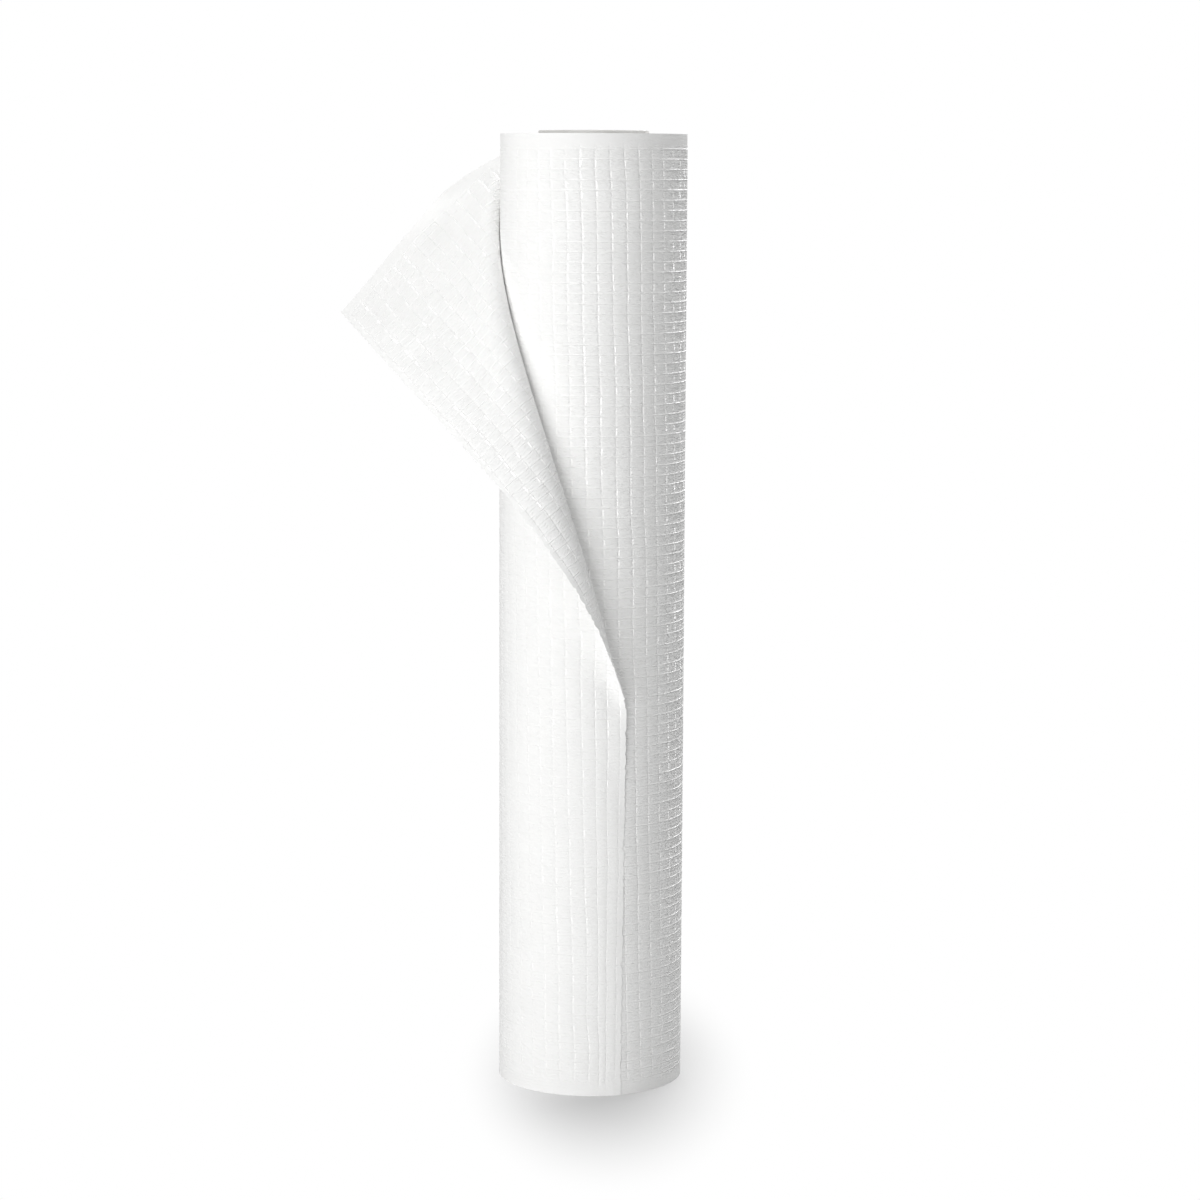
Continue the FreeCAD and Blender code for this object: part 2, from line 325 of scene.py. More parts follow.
def free_end_curve(shares):
    """Points on the curve that the free end follows, at shares of its length."""
    foot = on_roll(END_ANGLE, PEEL_FOOT, WEB_MIDDLE)
    rise = CORNER[2] - foot[2]
    bulge = foot + BULGE * [RADIUS, RADIUS, rise]
    lean = np.array([LEAN[0] * CORNER[0], foot[1] + LEAN[1] * RADIUS,
                     foot[2] + LEAN[2] * rise])
    at = np.linspace(0, 1, CURVE_POINTS)[:, None]
    curve = ((1 - at) ** 3 * foot + 3 * at * (1 - at) ** 2 * bulge
             + 3 * at ** 2 * (1 - at) * lean + at ** 3 * CORNER)
    reach = np.r_[0, np.cumsum(np.linalg.norm(np.diff(curve, axis=0), axis=1))]
    return np.stack([np.interp(shares * reach[-1], reach, curve[:, axis])
                     for axis in range(3)], -1)


def spline_weights(values, knots):
    """First knot and four Catmull-Rom weights for each value on an even row of knots."""
    place = (values - knots[0]) / (knots[1] - knots[0])
    cell = np.clip(np.floor(place).astype(int), 0, len(knots) - 2)
    t = place - cell
    weights = np.stack([-0.5 * t + t ** 2 - 0.5 * t ** 3,
                        1 - 2.5 * t ** 2 + 1.5 * t ** 3,
                        0.5 * t + 2 * t ** 2 - 1.5 * t ** 3,
                        -0.5 * t ** 2 + 0.5 * t ** 3], -1)
    return cell, weights


def web_surface(web, nodes, run, height):
    """Middle of the web at flat places: along its run and at a height of the roll."""
    padded = np.pad(nodes, ((1, 1), (1, 1), (0, 0)), mode="reflect", reflect_type="odd")
    column, across = spline_weights(run, web.run)
    row, along = spline_weights(np.maximum(height, web.height[0]), web.height)
    points = np.zeros(run.shape + (3,))
    for i in range(4):
        for j in range(4):
            share = across[..., i] * along[..., j]
            points += share[..., None] * padded[column + i, row + j]
    held = on_roll(np.degrees(run / WEB_MIDDLE), height, WEB_MIDDLE)
    return np.where((height < web.height[2])[..., None], held, points)


# ---- Rows and columns of the fine meshes: a line on each thread, on its two flanks and between
MARGIN_ROWS = np.array([0.0, 0.3, 0.65]) * MARGIN  # their heights in the lower margin
BETWEEN_THREADS = (0.36, 0.64)  # columns between two upright threads, as shares
SHARP_ANGLE = 62           # shading breaks where the mesh turns by more degrees than this


def cross_rows():
    """Heights of the mesh rows."""
    rows = list(MARGIN_ROWS)
    for number in range(CROSS_PITCHES + 1):
        thread = MARGIN + number * CROSS_PITCH
        rows += [thread - THREAD_HALF_WIDTH, thread, thread + THREAD_HALF_WIDTH]
        if number < CROSS_PITCHES:
            rows.append(thread + CROSS_PITCH / 2)
    return np.array(rows + list(WIDTH - MARGIN_ROWS[::-1]))


def upright_columns(first_thread, threads, pitch):
    """Runs of the mesh columns, five to a thread."""
    between = [pitch * share for share in BETWEEN_THREADS]
    offsets = [-THREAD_HALF_WIDTH, 0.0, THREAD_HALF_WIDTH, *between]
    return np.array([first_thread + number * pitch + offset
                     for number in range(threads) for offset in offsets])


def normals_of(points):
    """Unit normals of a grid of points, on the side away from the roll's axis."""
    across = np.gradient(points, axis=0)
    along = np.gradient(points, axis=1)
    normal = np.cross(across, along)
    return normal / np.linalg.norm(normal, axis=-1, keepdims=True)


def strip(first, second):
    """Quads between two equal rows of vertices."""
    return np.stack([first[:-1], first[1:], second[1:], second[:-1]], -1).reshape(-1, 4)


def grid_quads(grid):
    """Quads of a grid of vertices, facing the side of its columns crossed with its rows."""
    corners = [grid[:-1, :-1], grid[1:, :-1], grid[1:, 1:], grid[:-1, 1:]]
    return np.stack(corners, -1).reshape(-1, 4)


def closed(grid):
    """A grid of vertices with its first column and its first row added again at the end."""
    grid = np.vstack([grid, grid[:1]])
    return np.hstack([grid, grid[:, :1]])


def mesh_object(name, points, quads, named=()):
    """An object at the origin from points in millimetres, with named values for each."""
    mesh = bpy.data.meshes.new(name)
    mesh.from_pydata((points.reshape(-1, 3) * MM).tolist(), [], quads.tolist())
    for key, values in named:
        kind, slot = ("FLOAT_VECTOR", "vector") if key == "outward" else ("FLOAT", "value")
        attribute = mesh.attributes.new(key, kind, "POINT")
        attribute.data.foreach_set(slot, values.astype(np.float32).ravel())
    mesh.shade_smooth()
    mesh.set_sharp_from_angle(angle=math.radians(SHARP_ANGLE))
    return in_scene(name, mesh)


# ---- How the web lies: where its threads stray, where it is slack and how crisp it is pressed
WANDER = 0.28              # how far the threads stray from their lines
STRAY_SWELL = 26           # size of the swells in which the upright threads stray,
CLIMB_SWELL = 30           # and the threads that run round
TURN_SEED = 11
BODY_SEED = 14
CLIMB_SEED = 12
STRAY_RUN = 3              # the threads come to their lines this near the last turn's ends
SLANT_RUN = 25.0           # length of web in which the threads come parallel to the end

TEAR = 0.8                 # how far the torn end's teeth reach
TEAR_SHARE = 0.6           # share of the mesh rows that end in a tooth
TEAR_RUN = 0.9             # length of web that the teeth pull on
TEAR_SEED = 7
NICKS = ((121.0, 1.3), (64.0, 0.8), (27.0, 0.6), (232.0, 0.7))  # height and depth
NICK_WIDTH = 0.9
NICK_RUN = 2.6

SETTLE = 30.0              # height below the peel's foot in which the free end comes to lie
END_LIFT = 0.10            # how far the free end stands off the turn below it there
END_LIFT_RUN = 5.0
LIFT_SWELL = 60
LIFT_SEED = 13
SLACK = 0.12               # height of the slack waves beside the free end
SLACK_PITCH = 9.5
SLACK_RUN = 30.0
RIDGE = 0.5                # the last turn and the one below rise to a low ridge at the end
RIDGE_RUN = 10.0
SINK = 0.25                # the last turn sinks in this far where it starts
SINK_RUN = 1.6

MARGIN_EDGE = 1.5          # the pressing stops this softly at the plain margins
PLAIN_TAIL = (1.2, 3.2)    # the web's last few millimetres are plain
FAINT_TAIL = 0.45          # and below the peel the pressing comes back gradually from there
FAINT_TAIL_RUN = 30.0
FOOT_WEAR = 0.35           # share of the bared turn's pressing that is worn away low down
FOOT_WEAR_HEIGHTS = (40.0, 120.0)
# crispness round the roll; it also sets the strength of the threads' painted highlight
CRISP_ROUND = [(-180.0, 0.55), (-125.0, 0.40), (-65.0, 0.10), (24.0, 0.12),
               (46.0, 0.36), (66.0, 0.90), (100.0, 0.90), (145.0, 0.60)]  # angle and share
BARED_CRISP = 0.24         # the bared turn keeps this much of its pressing in front,
BARED_FROM = (-38.0, -12.0)  # coming in between these angles
FLAP_OUTSIDE = 0.40        # the peeled corner keeps this much on its outer side
FLAP_INSIDE = 0.16         # and this much on its inner side,
FLAP_CLEAR = (1.0, 8.0)    # coming in over these distances off the roll
FOLD_CLEAR = (1, 10)       # its inner side is plain up to here past the fold,
NEAR_FOLD = 0.7            # pressed this much deeper beyond it,
NEAR_FOLD_RUN = 30.0       # and less so further out
FOOT_BLEND = (-6, 4)       # heights over the peel's foot in which the inner side comes free


def below_peel(height):
    """1 where the free end lies on the roll, 0 above the foot of the peel."""
    return 1 - smooth(height, PEEL_FOOT - SETTLE, PEEL_FOOT)


def climb(place, height):
    """How far the threads that run round stray up or down."""
    inside = smooth(height, 0, MARGIN) * smooth(WIDTH - height, 0, MARGIN)
    return WANDER * inside * ripple(place, CLIMB_SWELL, CLIMB_SEED)


def plain_margins(height):
    """0 in the plain margins at the web's two edges, 1 between them."""
    edge = MARGIN - MARGIN_EDGE
    return smooth(height, edge, MARGIN) * smooth(WIDTH - height, edge, MARGIN)


def crispness(degrees):
    """How crisp the pressing is at an angle: least over the front and the left, most on the
    right; this also sets how strongly the threads' painted highlight shows.
    """
    angles, shares = zip(*CRISP_ROUND)
    return np.interp(degrees, angles, shares, period=360)


def torn_back(to_end, height):
    """How far the torn end stops short: fine teeth and a few nicks."""
    rng = np.random.default_rng(TEAR_SEED)
    rows = height.shape[1]
    teeth = TEAR * np.where(rng.random(rows) < TEAR_SHARE, rng.random(rows) ** 1.5, 0)
    nicks = sum(depth * np.exp(-((height - at) / NICK_WIDTH) ** 2) for at, depth in NICKS)
    return teeth * (1 - smooth(to_end, 0, TEAR_RUN)) + nicks * (1 - smooth(to_end, 0, NICK_RUN))


def end_rise(place, to_end):
    """How far the web rises towards its free end, where that lies on the roll."""
    uneven = 0.75 + 0.35 * ripple(place, LIFT_SWELL, LIFT_SEED)
    waves = 0.5 - 0.5 * np.cos(to_end * 2 * math.pi / SLACK_PITCH)
    rise = END_LIFT * np.exp(-to_end / END_LIFT_RUN) * uneven
    rise = rise + SLACK * waves * np.exp(-to_end / SLACK_RUN) * smooth(to_end, 0, 4)
    return rise + RIDGE * np.exp(-to_end / RIDGE_RUN)


def make_last_turn():
    """The last turn of the web and its peeled corner, as one sheet with both its sides."""
    web = PeeledWeb()
    nodes = web.peel()
    start_run = SEAM_RUN + LAP_START
    columns = upright_columns(SEAM_RUN, TURN_THREADS, TURN_PITCH)
    tail = LAST_THREAD + np.array([-THREAD_HALF_WIDTH, 0, THREAD_HALF_WIDTH])
    columns = np.r_[start_run, columns[3:], tail, (tail[-1] + END_RUN) / 2, END_RUN]
    run, height = np.meshgrid(columns, cross_rows(), indexing="ij")

    place = on_roll(np.degrees(run / WEB_MIDDLE), height, WEB_MIDDLE)
    to_end = END_RUN - run
    stray = WANDER * smooth(to_end, 0, STRAY_RUN) * smooth(run - start_run, 0, STRAY_RUN)
    skew = np.radians(END_ANGLE - end_angle(height)) * WEB_MIDDLE
    flat_run = run + stray * ripple(place, STRAY_SWELL, TURN_SEED) - torn_back(to_end, height)
    flat_run += slant(height) * smooth(to_end, 0, SLANT_RUN)
    flat_run -= skew * (1 - smooth(to_end, 0, SKEW_RUN))
    middle = web_surface(web, nodes, flat_run, height + climb(place, height))
    normal = normals_of(middle)
    low = below_peel(height)
    middle = middle + normal * (end_rise(place, to_end) * low)[..., None]
    sink = SINK * (1 - smooth(run - start_run, 0, SINK_RUN))
    outer = middle + normal * (WEB / 2 - sink)[..., None]
    inner = middle - normal * (WEB / 2)

    faint = FAINT_TAIL * np.exp(-to_end / FAINT_TAIL_RUN) * low
    relief = plain_margins(height) * smooth(to_end, *PLAIN_TAIL) * (1 - faint)
    from_fold = flat_run - np.radians(fold_angle(height)) * WEB_MIDDLE
    loose = smooth(from_fold, *FOLD_CLEAR) * smooth(height - PEEL_FOOT, *FOOT_BLEND)
    inner_relief = relief * loose * (1 + NEAR_FOLD * np.exp(-from_fold / NEAR_FOLD_RUN))
    clear = smooth(np.linalg.norm(middle[..., :2], axis=-1) - RADIUS, *FLAP_CLEAR)
    crisp = crispness(np.degrees(run / WEB_MIDDLE))
    sides = [np.maximum(crisp, share * clear) for share in (FLAP_OUTSIDE, FLAP_INSIDE)]

    front = np.arange(run.size).reshape(run.shape)
    back = front + run.size
    quads = np.concatenate([
        grid_quads(front), grid_quads(back)[:, ::-1],
        strip(back[:, 0], front[:, 0]), strip(front[:, -1], back[:, -1]),
        strip(front[0], back[0]), strip(back[-1], front[-1])])
    named = [("around", np.stack([run, run]) * MM),
             ("along", np.stack([height, height]) * MM),
             ("threads_past", (np.stack([run, run]) - LAST_THREAD) / TURN_PITCH),
             ("relief", np.stack([relief, inner_relief])),
             ("crisp", np.stack(sides)),
             ("outward", np.stack([normal, -normal]))]
    return mesh_object("last_turn", np.stack([outer, inner]), quads, named)


# ---- The wound body, with the bared turn on its outside and the turns' edges on its ends
LAP_BLEND = (-1.0, 3.5)    # degrees past its start in which the last turn comes to cover
LAP_WRAP = 20              # the lap's angles are counted from this far before its start
END_BLEND = (-0.6, 0.4)    # degrees short of the free end in which it stops covering
BARED_BLEND = (-4, 0)      # degrees past the fold in which the turn is bared
BUILD_UP = (30, 125)       # angles in which the body thickens by one web towards the lap
UNDER_SINK = 0.1           # the covered turn keeps this far below the last one
FRONT_WRAP = 230           # the pressing's angles are counted from this far on the left
JOIN_THREAD = -22          # the body's mesh closes on this thread, under the last turn
BORE_ROWS = 9
TURN_RINGS = 26            # rings that the end faces' turns are gathered in
TURN_STAND = 0.22          # how unevenly the turns' edges stand
TURN_SWAY = 9              # how far round the unevenness moves from the rim to the bore
FACE_DROP = 0.05           # how far the end faces stand inside the web's edges
RINGS_SEED = 5


def wrapped(degrees, before):
    """Angles brought within one turn that starts this far before 0."""
    return (degrees + before) % 360 - before


def rings(angles, radii):
    """Angles and radii of rings of vertices, as two even grids."""
    return np.repeat(angles[:, None], len(radii), axis=1), np.tile(radii, (len(angles), 1))


def make_wound_paper():
    """The turns below the last one: a body with the bore, the ends and the bared turn."""
    thread_zero = math.radians(UPRIGHT_PHASE) * RADIUS
    columns = upright_columns(thread_zero + JOIN_THREAD * UPRIGHT_PITCH, THREADS_ROUND,
                              UPRIGHT_PITCH)
    rows = cross_rows()
    run, height = np.meshgrid(columns, rows, indexing="ij")
    place = on_roll(np.degrees(run / RADIUS), height, RADIUS)
    stray = WANDER * ripple(place, STRAY_SWELL, BODY_SEED)

    lap_angle = SEAM_ANGLE + math.degrees(LAP_START / RADIUS)
    past_lap = wrapped(np.degrees(run / RADIUS) - lap_angle, LAP_WRAP)
    angle = lap_angle + past_lap + np.degrees((slant(height) + stray) / RADIUS)
    short_of_end = end_angle(height) - angle
    covered = smooth(past_lap, *LAP_BLEND) * smooth(short_of_end, *END_BLEND)
    bared = smooth(angle - fold_angle(height), *BARED_BLEND) * (height > PEEL_FOOT)
    hidden = covered * (1 - bared)
    at_lap = 1 - smooth(past_lap, *LAP_BLEND)
    build_up = np.where(past_lap < LAP_BLEND[1], at_lap, smooth(angle, *BUILD_UP))
    radius = RADIUS - WEB + WEB * build_up - UNDER_SINK * hidden
    from_end = np.abs(np.radians(short_of_end)) * RADIUS
    radius += RIDGE * np.exp(-from_end / RIDGE_RUN) * below_peel(height)
    outer = on_roll(angle, height + climb(place, height), radius)

    ring_share = np.linspace(0, 1, TURN_RINGS + 2)[1:-1]
    ring_radius = (RADIUS - WEB) * (1 - ring_share) + BORE_RADIUS * ring_share
    rng = np.random.default_rng(RINGS_SEED)
    stand = TURN_STAND * rng.uniform(-1, 0.3, TURN_RINGS)
    top_angle, top_radius = rings(angle[:, -1], ring_radius)
    stand = stand * (0.5 + 0.5 * np.cos(np.radians(top_angle) + TURN_SWAY * ring_share))
    top = on_roll(top_angle, WIDTH - FACE_DROP + stand, top_radius)
    low_angle, low_radius = rings(angle[:, 0], ring_radius[::-1])
    bottom = on_roll(low_angle, FACE_DROP - stand[:, ::-1], low_radius)
    turned = np.linspace(0, 1, BORE_ROWS) * (angle[:, :1] - angle[:, -1:])
    bore = on_roll(angle[:, -1:] + turned, np.linspace(WIDTH, 0, BORE_ROWS), BORE_RADIUS)

    points = np.concatenate([outer, top, bore, bottom], axis=1)
    grid = np.arange(points.shape[0] * points.shape[1]).reshape(points.shape[:2])

    def on_outside(values):
        """The values on the outer side, and 0 on the ends and in the bore."""
        everywhere = np.zeros(grid.shape)
        everywhere[:, :len(rows)] = values
        return everywhere

    worn = 1 - FOOT_WEAR * (1 - smooth(height, *FOOT_WEAR_HEIGHTS))
    turn = wrapped(angle, FRONT_WRAP)
    crisp = np.maximum(crispness(turn), BARED_CRISP * smooth(turn, *BARED_FROM))
    edges = np.zeros(grid.shape)
    edges[:, len(rows):len(rows) + TURN_RINGS] = 1
    edges[:, -TURN_RINGS:] = 1
    outward = facing(np.repeat(angle[:, :1], points.shape[1], axis=1))
    outward[:, :len(rows)] = facing(angle)
    named = [("around", on_outside(run) * MM),
             ("along", points[..., 2] * MM),
             ("threads_past", on_outside((run - thread_zero) / UPRIGHT_PITCH)),
             ("relief", on_outside(plain_margins(height) * (1 - hidden) * worn)),
             ("crisp", on_outside(crisp)),
             ("edges", edges),
             ("outward", outward)]
    return mesh_object("wound_paper", points, grid_quads(closed(grid)), named)


# ---- The card core
CORE_COLUMNS = 144
CORE_ROWS = 110
CARD_EDGE = 0.35           # the card's straight walls stop this far from its cut edges
CARD_RIM = ((0.14, 0.05), (0.35, 0.0), (0.5, 0.12), (0.65, 0.0), (0.86, 0.05))
SEAM_PITCH = 118.0         # height that the card strip climbs in one turn
SEAM_DEPTH = 0.22
SEAM_HALF_WIDTH = 2.0
SEAM_STOP = 1              # the seam stops this far from the cut edges


def make_card_core():
    """Tube of card wound from a strip, with the strip's seam as a spiral groove."""
    heights = np.linspace(CARD_EDGE, CORE_TOP - CARD_EDGE, CORE_ROWS)
    outside = [(CORE_RADIUS, height) for height in heights]
    inside = [(CORE_RADIUS - CORE_WALL, height) for height in heights[::-1]]
    top = [(CORE_RADIUS - CORE_WALL * share, CORE_TOP - drop) for share, drop in CARD_RIM]
    bottom = [(radius, CORE_TOP - height) for radius, height in reversed(top)]
    profile = np.array(outside + top + inside + bottom)
    angle = np.linspace(0, 360, CORE_COLUMNS, endpoint=False)
    turn, radius = np.meshgrid(angle, profile[:, 0], indexing="ij")
    height = np.broadcast_to(profile[:, 1], turn.shape)
    past_seam = (height - SEAM_PITCH * turn / 360) % SEAM_PITCH
    off_seam = np.minimum(past_seam, SEAM_PITCH - past_seam)
    groove = SEAM_DEPTH * (1 - smooth(off_seam, 0, SEAM_HALF_WIDTH))
    inwards = np.where(radius > CORE_RADIUS - CORE_WALL / 2, -1.0, 1.0)
    walls = (height > SEAM_STOP) & (height < CORE_TOP - SEAM_STOP)
    points = on_roll(turn, height, radius + inwards * groove * walls)
    grid = np.arange(turn.size).reshape(turn.shape)
    return mesh_object("card_core", points, grid_quads(closed(grid)))


# ---- Embossing: Geometry Nodes that raise the threads and puff the tissue between them
UPRIGHT_DEPTH = 0.12       # how deep the web is pressed along an upright thread,
CROSS_HEIGHT = 0.30        # how high it stands over a thread that runs round,
PUFF_HEIGHT = 0.16         # and how far it puffs out between the threads
EMBOSS_SEED = 3
CELL_KEY = 997.0           # keeps the numbers of two upright threads' cells apart


class Nodes:
    """Adds nodes to a tree and joins them as they are written."""

    def __init__(self, tree):
        self.tree = tree

    def add(self, kind, values=(), **settings):
        """A node with its settings and inputs: numbers are set and sockets are linked."""
        node = self.tree.nodes.new(kind)
        for key, value in settings.items():
            setattr(node, key, value)
        for key, value in dict(values).items():
            if isinstance(value, bpy.types.NodeSocket):
                self.tree.links.new(value, node.inputs[key])
            else:
                node.inputs[key].default_value = value
        return node

    def math(self, operation, *values, clamp=False):
        """A Math node's result."""
        node = self.add("ShaderNodeMath", dict(enumerate(values)), operation=operation,
                        use_clamp=clamp)
        return node.outputs[0]

    def vector(self, operation, *values):
        """A Vector Math node's result."""
        node = self.add("ShaderNodeVectorMath", dict(enumerate(values)), operation=operation)
        return node.outputs["Value" if operation == "LENGTH" else "Vector"]

    def product(self, first, *others):
        """All the values multiplied together."""
        for value in others:
            first = self.math("MULTIPLY", first, value)
        return first

    def plus(self, base, value, factor):
        """The base plus the value times the factor."""
        return self.math("MULTIPLY_ADD", value, factor, base)

    def mix(self, share, low, high):
        """Low where the share is 0, high where it is 1."""
        return self.plus(low, share, high - low)

    def ease(self, value, start, end):
        """0 at start, 1 at end and beyond, with an easy curve between."""
        node = self.add("ShaderNodeMapRange", {"Value": value, "From Min": start,
                                               "From Max": end},
                        interpolation_type="SMOOTHSTEP")
        return node.outputs[0]

    def band(self, off, start, full, full_end, end):
        """1 from full to full_end millimetres off a line, easing to 0 at start and end."""
        return self.product(self.ease(off, start * MM, full * MM),
                            self.ease(off, end * MM, full_end * MM))

    def nearest_thread(self, threads_past, pitch):
        """How far a place lies past its nearest thread, and that thread's number."""
        nearest = self.math("ROUND", threads_past)
        return self.product(self.math("SUBTRACT", threads_past, nearest), pitch), nearest

    def net_place(self, threads_past, along, margin, pitches):
        """How far a place lies past its two nearest threads, and its cell's two numbers."""
        off_upright, upright = self.nearest_thread(threads_past, pitches[0])
        rows_past = self.math("DIVIDE", self.math("SUBTRACT", along, margin), pitches[1])
        off_cross, _ = self.nearest_thread(rows_past, pitches[1])
        return off_upright, off_cross, upright, self.math("FLOOR", rows_past)

    def noise(self, at, scale, detail, **more):
        """Unevenness, about 0 to 1."""
        node = self.add("ShaderNodeTexNoise", {"Vector": at, "Scale": scale, "Detail": detail,
                                               **more})
        return node.outputs["Fac"]


def emboss_tree():
    """Tree that embosses a smooth web from its own named values."""
    tree = bpy.data.node_groups.new("emboss", "GeometryNodeTree")
    sizes = {"Upright pitch": UPRIGHT_PITCH, "Cross pitch": CROSS_PITCH, "Margin": MARGIN,
             "Thread half width": THREAD_HALF_WIDTH, "Upright depth": UPRIGHT_DEPTH,
             "Cross height": CROSS_HEIGHT, "Puff height": PUFF_HEIGHT}
    sockets = [("Web", "NodeSocketGeometry", None),
               *((name, "NodeSocketFloat", size * MM) for name, size in sizes.items()),
               ("Seed", "NodeSocketInt", EMBOSS_SEED),
               ("Finish", "NodeSocketMaterial", None)]
    for name, kind, value in sockets:
        socket = tree.interface.new_socket(name, in_out="INPUT", socket_type=kind)
        if value is not None:
            socket.default_value = value
    tree.interface.new_socket("Web", in_out="OUTPUT", socket_type="NodeSocketGeometry")
    make = Nodes(tree)
    given = make.add("NodeGroupInput").outputs

    def named(name, kind="FLOAT"):
        node = make.add("GeometryNodeInputNamedAttribute", {"Name": name}, data_type=kind)
        return next(out for out in node.outputs if out.enabled and out.name == "Attribute")

    def crest(off):
        """1 on a thread, 0 past its flank."""
        share = make.math("DIVIDE", off, given["Thread half width"])
        return make.math("SUBTRACT", 1.0, share, clamp=True)

    def arch(off, pitch):
        """0 on a thread, 1 half-way to the next."""
        return make.math("SINE", make.product(make.math("DIVIDE", off, pitch), math.pi))

    off_upright, off_cross, upright, row = make.net_place(
        named("threads_past"), named("along"), given["Margin"],
        (given["Upright pitch"], given["Cross pitch"]))
    off_upright = make.math("ABSOLUTE", off_upright)
    off_cross = make.math("ABSOLUTE", off_cross)
    cell = make.plus(row, upright, CELL_KEY)
    chance = make.add("FunctionNodeRandomValue", {"ID": cell, "Seed": given["Seed"]})
    luck = next(out for out in chance.outputs if out.enabled)

    crisp = named("crisp")
    part_crisp = make.mix(crisp, 0.5, 1.0)
    level = make.product(crest(off_cross), given["Cross height"], crisp,
                         make.mix(luck, 0.7, 1.2))
    across = arch(off_upright, given["Upright pitch"])
    fullness = make.mix(arch(off_cross, given["Cross pitch"]), 0.7, 1.0)
    puff = make.product(given["Puff height"], across, across, fullness, part_crisp)
    groove = make.product(crest(off_upright), given["Upright depth"], part_crisp,
                          make.mix(luck, 0.7, 1.3))
    height = make.math("SUBTRACT", make.math("MAXIMUM", level, puff), groove)
    height = make.product(height, named("relief"))

    shift = make.vector("MULTIPLY", named("outward", "FLOAT_VECTOR"), height)
    moved = make.add("GeometryNodeSetPosition", {"Geometry": given["Web"], "Offset": shift})
    whole = make.add("GeometryNodeRealizeInstances", {"Geometry": moved.outputs[0]})
    done = make.add("GeometryNodeSetMaterial", {"Geometry": whole.outputs[0],
                                                "Material": given["Finish"]})
    make.add("NodeGroupOutput", {0: done.outputs[0]})
    return tree


def emboss(piece, tree, finish):
    """Run the embossing on a piece and keep the result as its plain mesh."""
    modifier = piece.modifiers.new("emboss", "NODES")
    modifier.node_group = tree
    for item in tree.interface.items_tree:
        if item.in_out == "INPUT" and item.name == "Finish":
            modifier[item.identifier] = finish
    piece.data.materials.append(finish)
    evaluated = piece.evaluated_get(bpy.context.evaluated_depsgraph_get())
    mesh = bpy.data.meshes.new_from_object(evaluated)
    piece.modifiers.remove(modifier)
    piece.data = mesh
    mesh.name = piece.name
    return piece


# ---- Finishes.  Bands across a thread are given in millimetres off it: where they start, are
# full, stop being full and end.
GROOVE_DEPTH = 0.24        # the tissue is pressed in along the upright threads,
GROOVE_BAND = (-0.9, -0.05, 0.05, 0.5)
DASH_HEIGHT = 0.22         # a glossy dash of thread shows beside them in each cell,
DASH_BAND = (-0.1, 0.3, 0.45, 1.2)
DASH_BREAK = (0.5, 1.2)    # distances off a level thread in which the dash comes back
DASH_LUCK = (0.15, 0.95)   # chances between which a cell's dash grows to its full height
DASH_LEAST = 0.08          # share of it left where it is broken
LEVEL_HEIGHT = 0.25        # and the threads that run round stand up over a pressed line
LEVEL_FLANK = (0.48, 0.12)  # distances off them where they start and are full
UNDER_DEPTH = 0.25         # just below them
UNDER_BAND = (-1.1, -0.5, -0.45, -0.15)
PRESSED_LEAST = 0.35       # share of the upright lines' pressing left where it is smooth
# a thread near the free end has a higher dash and a brighter painted highlight
BOLD_THREAD = -1.0         # one thread near the free end shows at least this boldly
BOLD = 0.7
CREASE_HEIGHT = 0.34       # the fine level creases of the tissue,
CREASES = 3                # this many to a cell,
CREASE_DRIFT = 2.4         # wander up and down
DRIFT_SCALE = 170.0
PATCH_SCALE = 620.0        # and come and go in short patches
PATCH_EDGE = (0.4, 0.62)
FIBRE_HEIGHT = 0.035
FIBRE_SCALE = 2200.0
FINE_LEAST = 0.1           # share of the creases and fibres left where the web is smooth
TISSUE_TONE = 0.92
TISSUE_WARMTH = 0.992      # blue, as a share of red and green
CLOUD_TONE = 0.05
CLOUD_SCALE = 60.0
# the threads are lighter in colour: partly their own paler tone, partly a painted highlight
THREAD_TONE_AND_HIGHLIGHT = 0.10
THREAD_SHINE = 0.95
TISSUE_ROUGHNESS = 0.85
THREAD_ROUGHNESS = 0.38
TISSUE_GLOSS = 0.15
EDGES_TONE = 0.56          # the turns' edges on the end faces are darker, with fine rings
RING_TONE = 0.30
RING_HEIGHT = 0.5
RING_SCALE = 900.0
CARD_COLOURS = ((0.76, 0.75, 0.725, 1), (0.84, 0.83, 0.81, 1))
CARD_TONE_SCALE = 90.0
CARD_FIBRE_SCALE = 1500.0
CARD_FIBRE_HEIGHT = 0.1
CARD_ROUGHNESS = 0.85


def new_finish(name):
    """An empty material and its node writer."""
    finish = bpy.data.materials.new(name)
    finish.use_nodes = True
    finish.node_tree.nodes.clear()
    return finish, Nodes(finish.node_tree)


